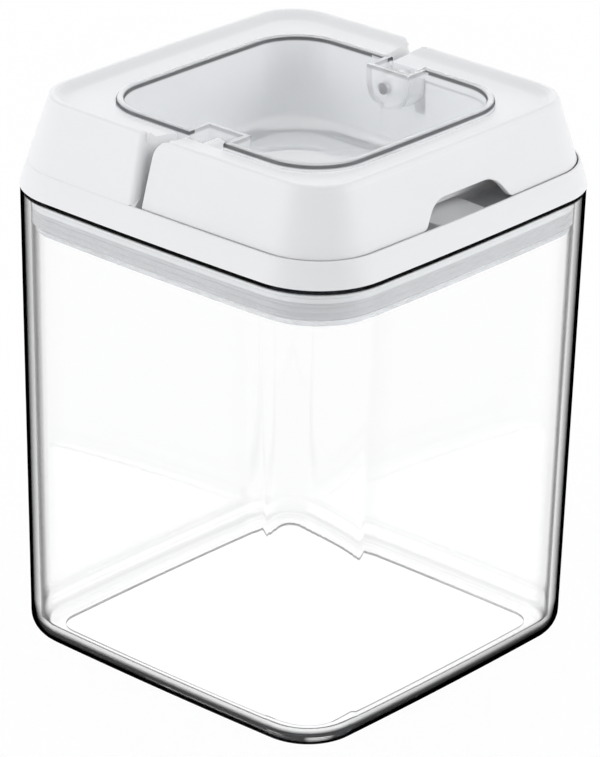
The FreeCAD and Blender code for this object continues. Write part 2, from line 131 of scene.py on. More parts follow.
def quarter_turn(quarter: int) -> Matrix:
    """Gives a number of quarter turns about Z."""
    return Matrix.Rotation(quarter * math.pi / 2, 3, "Z")


@dataclass(frozen=True)
class Outline:
    """Square with slightly bowed sides and round corners, seen from above.

    Args:
        half: half the width across the middle of the sides.
        corner: radius of the corners.
    """

    half: float
    corner: float

    def inset(self, depth: float) -> "Outline":
        """Gives the outline that lies inside this one."""
        return Outline(self.half - depth, self.corner - depth)

    @property
    def away(self) -> float:
        """Distance from the middle to the centre of a side's bow."""
        return BOW - self.half

    @property
    def pivot(self) -> float:
        """Distance of the corners' centres from the middle, along X and along Y."""
        reach = math.sqrt(2 * (BOW - self.corner) ** 2 - self.away**2)
        return (reach - self.away) / 2

    @property
    def swing(self) -> float:
        """Angle from the middle of a side to its end, about the centre of its bow."""
        return math.atan2(self.pivot, self.pivot + self.away)

    def along_side(self, quarter: int, angle: float, steps: int) -> Leg:
        """Gives an arc along a side."""
        return Leg(quarter_turn(quarter) @ Vector((-self.away, 0, 0)), angle, steps)

    def round_corner(self, quarter: int, steps: int) -> Leg:
        """Gives the arc round the corner that follows a side."""
        angle = math.pi / 2 - 2 * self.swing
        return Leg(quarter_turn(quarter) @ Vector((self.pivot, self.pivot, 0)), angle, steps)

    def start(self, quarter: int, angle: float) -> Vector:
        """Gives the point at an angle along a side."""
        bow = Matrix.Rotation(angle, 3, "Z") @ Vector((BOW, 0, 0))
        return quarter_turn(quarter) @ (bow - Vector((self.away, 0, 0)))

    def route(self, span: Span, end: float, grain: Grain) -> tuple[Vector, list[Leg]]:
        """Gives the start and the arcs of a rail along this outline.

        Args:
            span: stretch to follow.
            end: Y where an open stretch starts and ends.
            grain: steps of each arc.

        Returns:
            The start point and the arcs in order.
        """
        lean = math.asin(end / BOW)
        full = 2 * self.swing
        if span is Span.ROUND:
            legs = []
            for quarter in range(4):
                legs.append(self.along_side(quarter, full, grain.side))
                legs.append(self.round_corner(quarter, grain.corner))
            return self.start(0, -self.swing), legs
        first, sign = (2, 1) if span is Span.FRONT else (0, -1)
        part = self.swing + sign * lean
        legs = [
            self.along_side(first, part, grain.part),
            self.round_corner(first, grain.corner),
            self.along_side(first + 1, full, grain.side),
            self.round_corner(first + 1, grain.corner),
            self.along_side(first + 2, part, grain.part),
        ]
        return self.start(first, -sign * lean), legs


@dataclass(frozen=True)
class Station:
    """One rail of a skin.

    Args:
        outline: outline that the rail follows.
        height: height of the rail.
        end: Y where an open rail starts and ends.
    """

    outline: Outline
    height: float
    end: float = 0.0


def quarter_round(radius: float, steps: int, rising: bool) -> list[tuple[float, float]]:
    """Gives a rounded edge as distances from the sharp edge it replaces.

    Args:
        radius: radius of the rounding.
        steps: steps that it is divided into.
        rising: True from the side to the top, False from the top to the side.

    Returns:
        Distances inwards and downwards of each point.
    """
    turns = [math.pi / 2 * k / steps for k in range(steps + 1)]
    points = [(radius * (1 - math.cos(t)), radius * (1 - math.sin(t))) for t in turns]
    return points if rising else points[::-1]


@dataclass
class Loft:
    """Lays rails along soft squares and skins them into one mesh.

    Args:
        mesh: mesh that takes the faces.
        span: stretch that every rail follows.
        grain: steps of every rail.
    """

    mesh: BMesh
    span: Span
    grain: Grain = Grain()

    def rail(self, station: Station, level: float) -> list[BMEdge]:
        """Lays one rail by spinning a point round each arc in turn.

        Args:
            station: place of the rail.
            level: height that it is laid at.

        Returns:
            The rail's edges in order.
        """
        start, legs = station.outline.route(self.span, station.end, self.grain)
        draft = bmesh.new()
        first = draft.verts.new(start + UP * level)
        last = first
        for number, leg in enumerate(legs):
            closing = self.span is Span.ROUND and number == len(legs) - 1
            steps = leg.steps - 1 if closing else leg.steps
            made = bmesh.ops.spin(
                draft,
                geom=[last],
                cent=leg.centre,
                axis=UP,
                angle=leg.angle * steps / leg.steps,
                steps=steps,
            )
            last = next(item for item in made["geom_last"] if isinstance(item, BMVert))
        if self.span is Span.ROUND:
            draft.edges.new((last, first))
        data = bpy.data.meshes.new("rail")
        draft.to_mesh(data)
        draft.free()
        known = set(self.mesh.edges)
        self.mesh.from_mesh(data)
        bpy.data.meshes.remove(data)
        return [edge for edge in self.mesh.edges if edge not in known]

    def skin(self, stations: list[Station], closed: bool) -> list[list[BMEdge]]:
        """Lays rails one above the other, joins each to the next and moves each to its height.

        Args:
            stations: places of the rails in order.
            closed: True if the last rail joins the first.

        Returns:
            The rails.
        """
        rails = [self.rail(station, number * STOREY) for number, station in enumerate(stations)]
        ring = rails + rails[:1] if closed else rails
        for near, far in zip(ring, ring[1:]):
            bmesh.ops.bridge_loops(self.mesh, edges=near + far)
        for station, rail in zip(stations, rails):
            for vert in {vert for edge in rail for vert in edge.verts}:
                vert.co.z = station.height
        return rails

    def vessel(self, stations: list[Station]) -> None:
        """Skins a vessel and closes its underside and its floor with flat fans of faces.

        Args:
            stations: places of the rails, from the underside over the rim to the floor.
        """
        rails = self.skin(stations, closed=False)
        for rail in (rails[0], rails[-1]):
            faces = bmesh.ops.edgeloop_fill(self.mesh, edges=rail)["faces"]
            bmesh.ops.poke(self.mesh, faces=faces)

    def bar(self, stations: list[Station]) -> None:
        """Skins a bar along an open stretch and closes its two ends.

        Args:
            stations: places of the rails round the bar's section.
        """
        self.skin(stations, closed=True)
        open_edges = [edge for edge in self.mesh.edges if edge.is_boundary]
        bmesh.ops.holes_fill(self.mesh, edges=open_edges, sides=0)


def end_caps(mesh: BMesh) -> list[BMFace]:
    """Gives the two end faces of a bar, which have the most corners."""
    return sorted(mesh.faces, key=lambda face: len(face.verts))[-2:]


def as_object(mesh: BMesh, name: str) -> Object:
    """Turns a mesh into an object at the origin.

    Args:
        mesh: the mesh, which is freed.
        name: name of the object.

    Returns:
        The object.
    """
    data = bpy.data.meshes.new(name)
    mesh.to_mesh(data)
    mesh.free()
    made = bpy.data.objects.new(name, data)
    bpy.context.scene.collection.objects.link(made)
    return made


def finished(mesh: BMesh, name: str, material: Material) -> Object:
    """Turns a mesh into a smooth object at the origin.

    Args:
        mesh: mesh of the piece, which is freed.
        name: name of the piece.
        material: finish of the piece.

    Returns:
        The object.
    """
    bmesh.ops.recalc_face_normals(mesh, faces=mesh.faces[:])
    for face in mesh.faces:
        face.smooth = True
    for edge in mesh.edges:
        edge.smooth = edge.is_manifold and edge.calc_face_angle() < SHARP
    piece = as_object(mesh, name)
    piece.data.materials.append(material)
    weight = piece.modifiers.new("Flat faces lead", "WEIGHTED_NORMAL")
    weight.keep_sharp = True
    weight.weight = 100
    return piece


def settle(piece: Object, node: str, body: str) -> None:
    """Puts a piece in the place of a CAD node.

    Args:
        piece: the piece.
        node: CAD node that it stands for.
        body: body that it rides on.
    """
    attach(piece, body)
    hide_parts(node)
    LOG.info("%s stands for %s and rides on %s", piece.name, node, body)


def prism(mesh: BMesh, low: Vector, high: Vector) -> list[BMVert]:
    """Adds a box.

    Args:
        mesh: mesh that takes it.
        low: its least corner.
        high: its greatest corner.

    Returns:
        Its vertices.
    """
    verts = bmesh.ops.create_cube(mesh, size=1)["verts"]
    bmesh.ops.scale(mesh, vec=high - low, verts=verts)
    bmesh.ops.translate(mesh, vec=(low + high) / 2, verts=verts)
    return verts


def soften(mesh: BMesh, edges: list[BMEdge], width: float, segments: int) -> None:
    """Rounds edges.

    Args:
        mesh: mesh that holds them.
        edges: edges to round.
        width: width of the rounding.
        segments: steps across it.
    """
    bmesh.ops.bevel(
        mesh, geom=edges, offset=width, offset_type="OFFSET", affect="EDGES", segments=segments,
        profile=0.5, material=-1, clamp_overlap=False,
    )


def tube(mesh: BMesh, middle: Vector, near: float, far: float, inner: float, outer: float) -> None:
    """Adds a tube along X by spinning its section.

    Args:
        mesh: mesh that takes it.
        middle: a point on its axis.
        near: X of one end.
        far: X of the other end.
        inner: inner radius.
        outer: outer radius.
    """
    corners = [(near, inner), (far, inner), (far, outer), (near, outer)]
    verts = [mesh.verts.new((x, middle.y, middle.z + radius)) for x, radius in corners]
    edges = [mesh.edges.new((verts[k], verts[(k + 1) % 4])) for k in range(4)]
    bmesh.ops.spin(
        mesh, geom=verts + edges, cent=middle, axis=(1, 0, 0), angle=2 * math.pi, steps=CIRCLE_STEPS,
        use_merge=True,
    )
    seam = [vert for vert in mesh.verts if abs(vert.co.y - middle.y) < HAIR and vert.co.z > middle.z]
    bmesh.ops.remove_doubles(mesh, verts=seam, dist=HAIR)


@dataclass(frozen=True)
class Pattern:
    """Noise that is fixed to a piece.

    Args:
        scale: features per metre.
        detail: octaves of finer noise.
    """

    scale: float
    detail: float


@dataclass(frozen=True)
class Relief:
    """Bumps of a surface.

    Args:
        share: share of the bumps that shows.
        height: their real height.
    """

    share: float
    height: float


class NodeSheet:
    """Shader nodes of one material, laid out as they are added."""

    COLUMN = 220

    def __init__(self, tree: NodeTree, output: str) -> None:
        """Starts an empty sheet.

        Args:
            tree: tree that takes the nodes.
            output: type of its output node.
        """
        self.tree = tree
        self.tree.nodes.clear()
        self.output = self.add(output)

    def add(self, kind: str, **inputs: object) -> Node:
        """Adds a node.

        Args:
            kind: type of the node.
            inputs: values of its inputs, with spaces in their names written as underscores.

        Returns:
            The node.
        """
        node = self.tree.nodes.new(kind)
        node.location = (self.COLUMN * len(self.tree.nodes), 0)
        for key, value in inputs.items():
            node.inputs[key.replace("_", " ")].default_value = value
        return node

    def link(self, source: NodeSocket, target: NodeSocket) -> None:
        """Links an output socket to an input socket."""
        self.tree.links.new(source, target)

    def show(self, shader: NodeSocket) -> None:
        """Links a shader to the output."""
        self.link(shader, self.output.inputs["Surface"])

    def noise(self, pattern: Pattern) -> NodeSocket:
        """Adds noise that is fixed to the object.

        Args:
            pattern: size and detail of the noise.

        Returns:
            The noise from 0 to 1.
        """
        place = self.add("ShaderNodeTexCoord")
        grain = self.add("ShaderNodeTexNoise", Scale=pattern.scale, Detail=pattern.detail)
        self.link(place.outputs["Object"], grain.inputs["Vector"])
        return grain.outputs["Fac"]

    def split(self, vector: NodeSocket) -> Node:
        """Adds the node that splits a vector into X, Y and Z.

        Args:
            vector: the vector.

        Returns:
            The node.
        """
        node = self.add("ShaderNodeSeparateXYZ")
        self.link(vector, node.inputs["Vector"])
        return node

    def spread(
        self, source: NodeSocket, least: float, most: float, start: float = 0.0, stop: float = 1.0
    ) -> NodeSocket:
        """Maps a range of a value onto another range, and keeps to it.

        Args:
            source: the value.
            least: result at the start.
            most: result at the stop.
            start: value where the range starts.
            stop: value where it stops.

        Returns:
            The result.
        """
        mapped = self.add("ShaderNodeMapRange", From_Min=start, From_Max=stop, To_Min=least, To_Max=most)
        self.link(source, mapped.inputs["Value"])
        return mapped.outputs["Result"]

    def ramp(self, source: NodeSocket, stops: Stops) -> NodeSocket:
        """Maps a value through a ramp of greys.

        Args:
            source: the value from 0 to 1.
            stops: places along the ramp and their greys.

        Returns:
            The result.
        """
        node = self.add("ShaderNodeValToRGB")
        elements = node.color_ramp.elements
        while len(elements) < len(stops):
            elements.new(0.5)
        for element, (place, grey) in zip(elements, stops):
            element.position = place
            element.color = (grey, grey, grey, 1)
        self.link(source, node.inputs["Fac"])
        return node.outputs["Color"]

    def math(self, operation: str, *sources: NodeSocket) -> NodeSocket:
        """Works out a value from one or two others.

        Args:
            operation: what is done with them.
            sources: the values.

        Returns:
            The result.
        """
        node = self.add("ShaderNodeMath")
        node.operation = operation
        for number, source in enumerate(sources):
            self.link(source, node.inputs[number])
        return node.outputs["Value"]

    def blend(self, share: NodeSocket, first: Rgba, second: Rgba) -> NodeSocket:
        """Mixes two colours.

        Args:
            share: share of the second colour.
            first: colour at 0.
            second: colour at 1.

        Returns:
            The mixed colour.
        """
        node = self.add("ShaderNodeMixRGB", Color1=first, Color2=second)
        self.link(share, node.inputs["Fac"])
        return node.outputs["Color"]

    def mix(self, share: NodeSocket | float, first: NodeSocket, second: NodeSocket) -> NodeSocket:
        """Mixes two shaders.

        Args:
            share: share of the second shader.
            first: shader at 0.
            second: shader at 1.

        Returns:
            The mixed shader.
        """
        node = self.add("ShaderNodeMixShader")
        if isinstance(share, NodeSocket):
            self.link(share, node.inputs["Fac"])
        else:
            node.inputs["Fac"].default_value = share
        self.link(first, node.inputs[1])
        self.link(second, node.inputs[2])
        return node.outputs["Shader"]

    def roughen(self, shader: Node, grain: NodeSocket, rough: tuple[float, float]) -> None:
        """Spreads a shader's roughness from its least to its greatest by a grain."""
        self.link(self.spread(grain, *rough), shader.inputs["Roughness"])

    def emboss(self, shader: Node, grain: NodeSocket, relief: Relief) -> None:
        """Lets a grain stand out of a shader's surface.

        Args:
            shader: the shader.
            grain: height of the surface from 0 to 1.
            relief: how far it stands out.
        """
        node = self.add("ShaderNodeBump", Strength=relief.share, Distance=relief.height)
        self.link(grain, node.inputs["Height"])
        self.link(node.outputs["Normal"], shader.inputs["Normal"])


def new_sheet(name: str) -> tuple[Material, NodeSheet]:
    """Starts a material.

    Args:
        name: name of the material.

    Returns:
        The material and its empty sheet.
    """
    material = bpy.data.materials.new(name)
    material.use_nodes = True
    return material, NodeSheet(material.node_tree, "ShaderNodeOutputMaterial")


@dataclass(frozen=True)
class WhiteMoulding:
    """Satin white moulded plastic.

    Args:
        pale: colour of most of the surface.
        shade: colour of its slightly darker flow patches.
        ior: index of refraction.
        soft: share of the light that scatters under the surface.
        soft_depth: how deep that light goes.
        soft_tint: how deep its red, green and blue go, as shares.
        flow: the flow patches.
        grain: the grain of the surface.
        rough: least and greatest roughness.
        relief: bumps of the grain.
    """

    pale: Rgba = (0.86, 0.862, 0.868, 1)
    shade: Rgba = (0.835, 0.838, 0.845, 1)
    ior: float = 1.46
    soft: float = 0.08
    soft_depth: float = 2 * MM
    soft_tint: tuple[float, float, float] = (1.0, 0.9, 0.8)
    flow: Pattern = Pattern(45, 3)
    grain: Pattern = Pattern(2600, 2)
    rough: tuple[float, float] = (0.34, 0.44)
    relief: Relief = Relief(0.12, 0.04 * MM)

    def material(self) -> Material:
        """Builds the material.

        Returns:
            The material.
        """
        material, sheet = new_sheet("white moulding")
        shader = sheet.add(
            "ShaderNodeBsdfPrincipled", IOR=self.ior, Subsurface_Weight=self.soft,
            Subsurface_Scale=self.soft_depth, Subsurface_Radius=self.soft_tint,
        )
        patches = sheet.blend(sheet.noise(self.flow), self.pale, self.shade)
        sheet.link(patches, shader.inputs["Base Color"])
        grain = sheet.noise(self.grain)
        sheet.roughen(shader, grain, self.rough)
        sheet.emboss(shader, grain, self.relief)
        sheet.show(shader.outputs["BSDF"])
        return material


@dataclass(frozen=True)
class ClearPlastic:
    """Water-clear polished plastic with painted shade: a dark veil where its roundings turn away from the
    eye, and a dark line painted under its rim, both in place of reflected dark surroundings.

    Args:
        name: name of the material.
        rim: height of the rim.
        rim_width: height of the painted dark line under the rim.
        rim_shade: share of the edge's colour in that painted line.
        corner: distance from both middle planes where the painted shade of the corners starts, and where it
            is in full.
        foot: height to which the painted shade of the foot's rounding is in full, and where it ends.
        haze: share of the plastic's surface that scatters light.
        pocket: half width and half depth of the middle, where the painted line on the hinge pockets' rims is
            fainter.
        pocket_shade: share of the painted rim line that those rims keep.
        foot_lean: how much further the foot counts as turned away, which deepens its painted shade.
        milk: colour of the haze.
        clear: colour of the plastic.
        edge: colour of the painted dark veil, the colour that is left of the light where the plastic is
            painted dark.
        passing: colour that is left of the light that lights other pieces.
        ior: index of refraction.
        polish: pattern of the roughness.
        rough: least and greatest roughness.
        ripple: pattern of the slight waves.
        relief: height of the waves.
        turn_stops: painted darkness by how far a rounding is turned away.
        level_stops: painted darkness by how level it lies.
        rim_stops: painted darkness up the rim's line.
    """

    name: str
    rim: float
    rim_width: float
    rim_shade: float
    corner: tuple[float, float]
    foot: tuple[float, float]
    haze: float = 0.0
    pocket: tuple[float, float] = (0.0, 0.0)
    pocket_shade: float = 0.3
    foot_lean: float = 0.12
    milk: Rgba = (0.93, 0.935, 0.945, 1)
    clear: Rgba = (0.992, 0.993, 0.994, 1)
    edge: Rgba = (0.012, 0.013, 0.016, 1)
    passing: Rgba = (0.975, 0.978, 0.98, 1)
    ior: float = 1.5
    polish: Pattern = Pattern(60, 2)
    rough: tuple[float, float] = (0.0, 0.02)
    ripple: Pattern = Pattern(35, 1)
    relief: Relief = Relief(0.05, 0.4 * MM)
    turn_stops: Stops = ((0.34, 0.0), (0.52, 0.12), (0.62, 0.55), (0.73, 1.0))
    level_stops: Stops = ((0.90, 1.0), (0.985, 0.0))
    rim_stops: Stops = ((0.0, 0.0), (0.35, 1.0), (0.85, 1.0), (1.0, 0.1))

    def painted_glancing_shade(self, sheet: NodeSheet, place: Node) -> NodeSocket:
        """Gives the share of painted shade where a corner or the foot is turned away from the eye, less where
        it lies level, in place of reflected dark surroundings.

        Args:
            sheet: sheet that takes the nodes.
            place: node that splits the place on the object.

        Returns:
            The share from 0 to 1.
        """
        reach = [sheet.math("ABSOLUTE", place.outputs[axis]) for axis in "XY"]
        corner = sheet.spread(sheet.math("MINIMUM", *reach), 0.0, 1.0, *self.corner)
        foot = sheet.spread(place.outputs["Z"], 1.0, 0.0, *self.foot)
        facing = sheet.add("ShaderNodeLayerWeight", Blend=0.5)
        lean = sheet.spread(foot, 0.0, self.foot_lean)
        turned = sheet.ramp(sheet.math("ADD", facing.outputs["Facing"], lean), self.turn_stops)
        surface = sheet.add("ShaderNodeNewGeometry")
        normal = sheet.split(surface.outputs["Normal"])
        upright = sheet.ramp(sheet.math("ABSOLUTE", normal.outputs["Z"]), self.level_stops)
        rounded = sheet.math("MAXIMUM", corner, foot)
        return sheet.math("MULTIPLY", sheet.math("MULTIPLY", turned, upright), rounded)

    def painted_rim_shade(self, sheet: NodeSheet, place: Node) -> NodeSocket:
        """Gives the dark line painted under the rim, in place of the rim's internal reflection of dark
        surroundings.

        Args:
            sheet: sheet that takes the nodes.
            place: node that splits the place on the object.

        Returns:
            The share from 0 to 1.
        """
        # Painted shade: a dark band by height just under the rim, fainter on the hinge pockets' rims.
        height = sheet.spread(place.outputs["Z"], 0.0, 1.0, self.rim - self.rim_width, self.rim)
        line = sheet.spread(sheet.ramp(height, self.rim_stops), 0.0, self.rim_shade)
        within = []
        for axis, half in zip("XY", self.pocket):
            reach = sheet.math("ABSOLUTE", place.outputs[axis])
            within.append(sheet.spread(reach, 1.0, 0.0, half, half + HAIR))
        middle = sheet.math("MULTIPLY", *within)
        return sheet.math("MULTIPLY", line, sheet.spread(middle, 1.0, self.pocket_shade))

    def material(self) -> Material:
        """Builds the material.

        Returns:
            The material.
        """
        material, sheet = new_sheet(self.name)
        plastic = sheet.add(
            "ShaderNodeBsdfPrincipled", Base_Color=self.clear, IOR=self.ior, Transmission_Weight=1.0
        )
        sheet.roughen(plastic, sheet.noise(self.polish), self.rough)
        sheet.emboss(plastic, sheet.noise(self.ripple), self.relief)
        milk = sheet.add("ShaderNodeBsdfDiffuse", Color=self.milk)
        hazed = sheet.mix(self.haze, plastic.outputs["BSDF"], milk.outputs["BSDF"])
        spot = sheet.add("ShaderNodeTexCoord")
        place = sheet.split(spot.outputs["Object"])
        # Painted shade: a dark transparent veil is mixed in where roundings turn away from the eye and in a
        # line under the rim, in place of reflected dark surroundings.
        dark = sheet.math("MAXIMUM", self.painted_glancing_shade(sheet, place), self.painted_rim_shade(sheet, place))
        veil = sheet.add("ShaderNodeBsdfTransparent", Color=self.edge)
        veiled = sheet.mix(dark, hazed, veil.outputs["BSDF"])
        path = sheet.add("ShaderNodeLightPath")
        unseen = sheet.math("MAXIMUM", path.outputs["Is Shadow Ray"], path.outputs["Is Diffuse Ray"])
        passing = sheet.add("ShaderNodeBsdfTransparent", Color=self.passing)
        sheet.show(sheet.mix(unseen, veiled, passing.outputs["BSDF"]))
        return material


@dataclass(frozen=True)
class FrostedSilicone:
    """Milky translucent silicone.

    Args:
        colour: colour of the silicone.
        clear: share of the light that passes through.
        ior: index of refraction.
        grain: the frosting.
        rough: least and greatest roughness.
        relief: bumps of the frosting.
    """

    colour: Rgba = (0.76, 0.765, 0.775, 1)
    clear: float = 0.25
    ior: float = 1.41
    grain: Pattern = Pattern(1500, 3)
    rough: tuple[float, float] = (0.38, 0.55)
    relief: Relief = Relief(0.2, 0.05 * MM)

    def material(self) -> Material:
        """Builds the material.

        Returns:
            The material.
        """
        material, sheet = new_sheet("frosted silicone")
        shader = sheet.add(
            "ShaderNodeBsdfPrincipled", Base_Color=self.colour, IOR=self.ior, Transmission_Weight=self.clear
        )
        grain = sheet.noise(self.grain)
        sheet.roughen(shader, grain, self.rough)
        sheet.emboss(shader, grain, self.relief)
        sheet.show(shader.outputs["BSDF"])
        return material


@dataclass(frozen=True)
class DrawnSteel:
    """Steel with fine drawing lines along the pin.

    Args:
        colour: colour of the metal.
        lines: features per metre along X, Y and Z.
        detail: octaves of finer noise.
        rough: least and greatest roughness.
        relief: depth of the lines.
    """

    colour: Rgba = (0.60, 0.60, 0.61, 1)
    lines: tuple[float, float, float] = (200, 9000, 9000)
    detail: float = 2.0
    rough: tuple[float, float] = (0.22, 0.42)
    relief: Relief = Relief(0.2, 0.02 * MM)

    def material(self) -> Material:
        """Builds the material.

        Returns:
            The material.
        """
        material, sheet = new_sheet("drawn steel")
        shader = sheet.add("ShaderNodeBsdfPrincipled", Base_Color=self.colour, Metallic=1.0)
        place = sheet.add("ShaderNodeTexCoord")
        stretch = sheet.add("ShaderNodeMapping", Scale=self.lines)
        grain = sheet.add("ShaderNodeTexNoise", Scale=1.0, Detail=self.detail)
        sheet.link(place.outputs["Object"], stretch.inputs["Vector"])
        sheet.link(stretch.outputs["Vector"], grain.inputs["Vector"])
        sheet.roughen(shader, grain.outputs["Fac"], self.rough)
        sheet.emboss(shader, grain.outputs["Fac"], self.relief)
        sheet.show(shader.outputs["BSDF"])
        return material


@dataclass
class Jar:
    """Clear square jar.

    Args:
        half: half its width at the rim.
        height: height of its rim.
    """

    half: float
    height: float
    corner: float = 19.2 * MM
    base_corner: float = 15.5 * MM
    draft: float = 0.022
    base_round: float = 5.9 * MM
    wall: float = 2.4 * MM
    floor: float = 3.2 * MM
    floor_round: float = 4.0 * MM
    foot_width: float = 3.5 * MM
    foot_depth: float = 0.7 * MM
    rim_round: float = 0.6 * MM
    support: float = 1.5 * MM
    arc_steps: int = 10
    rim_steps: int = 4

    def outline(self, height: float, inset: float) -> Outline:
        """Gives the jar's outline.

        Args:
            height: height of the outline.
            inset: depth inside the jar's outer face.

        Returns:
            The outline.
        """
        share = (self.height - height) / self.height
        corner = self.corner + (self.base_corner - self.corner) * share
        return Outline(self.half - self.draft * (self.height - height), corner).inset(inset)

    def station(self, inset: float, height: float) -> Station:
        """Gives a rail of the jar."""
        return Station(self.outline(height, inset), height)

    def profile(self) -> list[Station]:
        """Gives the jar's rails from the middle of the underside over the rim to the floor.

        Returns:
            The rails' places.
        """
        foot = self.base_round + self.foot_width
        run = [(foot + self.support, self.foot_depth), (foot, self.foot_depth), (foot, 0.0)]
        run += [(depth, rise) for rise, depth in quarter_round(self.base_round, self.arc_steps, True)]
        for inward, down in quarter_round(self.rim_round, self.rim_steps, True):
            run.append((inward, self.height - down))
        for inward, down in quarter_round(self.rim_round, self.rim_steps, False):
            run.append((self.wall - inward, self.height - down))
        for inward, rise in quarter_round(self.floor_round, self.arc_steps, True):
            run.append((self.wall + inward, self.floor + rise))
        run.append((self.wall + self.floor_round + self.support, self.floor))
        return [self.station(inset, height) for inset, height in run]

    def build(self, material: Material) -> Object:
        """Builds the jar.

        Args:
            material: its finish.

        Returns:
            The jar.
        """
        mesh = bmesh.new()
        Loft(mesh, Span.ROUND).vessel(self.profile())
        return finished(mesh, "jar_moulding", material)


@dataclass
class LidShape:
    """Outer shape that the frame and the lever share.

    Args:
        jar: jar under the lid.
        top: height of the frame's lip.
    """

    jar: Jar
    top: float
    overhang: float = 0.2 * MM
    draft: float = 0.3122
    lip: float = 1.8 * MM
    slope_width: float = 2.9 * MM
    slope_depth: float = 1.7 * MM
    ledge_fall: float = 0.65 * MM
    lip_round: float = 0.75 * MM
    inner_round: float = 0.55 * MM
    slope_steps: int = 8
    round_steps: int = 5
    tub_border: float = 17.67 * MM
    tub_corner: float = 14.7 * MM
    well_gap: float = 0.3 * MM

    def outline(self, height: float, inset: float) -> Outline:
        """Gives the lid's outline.

        Args:
            height: height of the outline.
            inset: depth inside the lid's outer face.

        Returns:
            The outline.
        """
        lean = self.draft * (height - self.jar.height)
        rim = Outline(self.jar.half + self.overhang, self.jar.corner + self.overhang)
        return rim.inset(lean + inset)

    def well(self, wall: float) -> Outline:
        """Gives the outline of the tub or of a wall round it."""
        return Outline(self.jar.half - self.tub_border, self.tub_corner).inset(-wall)

    def dish(self, sink: float, inset: float) -> list[tuple[Outline, float]]:
        """Gives the rails from the outer edge over the lip and down the hollow slope to the well.

        Args:
            sink: depth of the lip below the frame's lip.
            inset: depth of the outer face inside the frame's.

        Returns:
            Outlines and heights of the rails.
        """
        top = self.top - sink
        run = quarter_round(self.lip_round, self.round_steps, True)
        turns = [math.pi / 2 * (1 - k / (2 * self.round_steps)) for k in range(self.round_steps + 1)]
        centre = self.lip - self.inner_round
        for turn in turns:
            run.append((centre + self.inner_round * math.cos(turn), self.inner_round * (1 - math.sin(turn))))
        for step in range(1, self.slope_steps + 1):
            share = step / self.slope_steps
            fall = self.slope_depth * math.sin(math.pi / 2 * share)
            run.append((self.lip + self.slope_width * share, fall))
        rails = [(self.outline(top, inset + inward), top - down) for inward, down in run]
        rails.append((self.well(self.well_gap), top - self.slope_depth - self.ledge_fall))
        return rails


